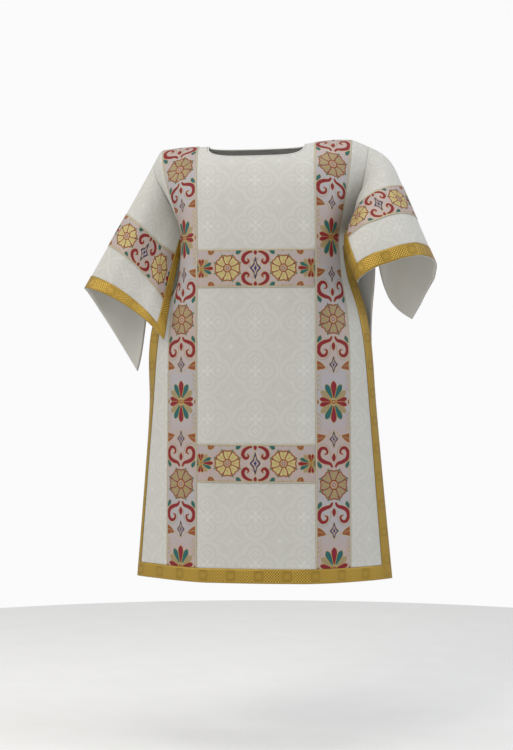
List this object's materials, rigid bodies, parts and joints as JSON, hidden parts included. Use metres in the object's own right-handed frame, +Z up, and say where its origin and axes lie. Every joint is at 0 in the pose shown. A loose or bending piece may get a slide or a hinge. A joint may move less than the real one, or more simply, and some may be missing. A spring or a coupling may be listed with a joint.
{
  "type": "dalmatic",
  "caption": "Open-sided liturgical dalmatic of ivory damask as worn, with woven orphrey bands, gold galloon on every free edge and wide sleeves open under the arm.",
  "frame": {"origin": "the neck centre on the line of the shoulder seams, where the wearer holds the garment up", "axes": "+Z up, -Y the wearer's front, +X the wearer's left"},
  "size_m": [0.8792, 0.3744, 1.087],
  "materials": {
    "damask": "self-patterned ivory damask with a soft sheen",
    "orphrey": "figured woven band, crimson, gold, teal and blue on a pale lilac ground",
    "gold_braid": "gold galloon woven in lattice and star blocks",
    "lining": "plain off-white lining",
    "neck_edge": "rolled ivory edge"
  },
  "bodies": {
    "root": {"front_panel": "damask", "back_panel": "damask", "sleeve_right": "damask", "sleeve_left": "damask", "sleeve_lining_right": "lining", "sleeve_lining_left": "lining", "clavus_front_right": "orphrey", "galloon_side_front_right": "gold_braid", "galloon_underarm_front_right": "gold_braid", "clavus_front_left": "orphrey", "galloon_side_front_left": "gold_braid", "galloon_underarm_front_left": "gold_braid", "crossband_front_upper": "orphrey", "crossband_front_lower": "orphrey", "galloon_hem_front": "gold_braid", "clavus_back_right": "orphrey", "galloon_side_back_right": "gold_braid", "galloon_underarm_back_right": "gold_braid", "clavus_back_left": "orphrey", "galloon_side_back_left": "gold_braid", "galloon_underarm_back_left": "gold_braid", "crossband_back_upper": "orphrey", "crossband_back_lower": "orphrey", "galloon_hem_back": "gold_braid", "sleeve_band_right": "orphrey", "galloon_cuff_right": "gold_braid", "sleeve_band_left": "orphrey", "galloon_cuff_left": "gold_braid", "neck_piping": "neck_edge"}
  },
  "joints": []
}
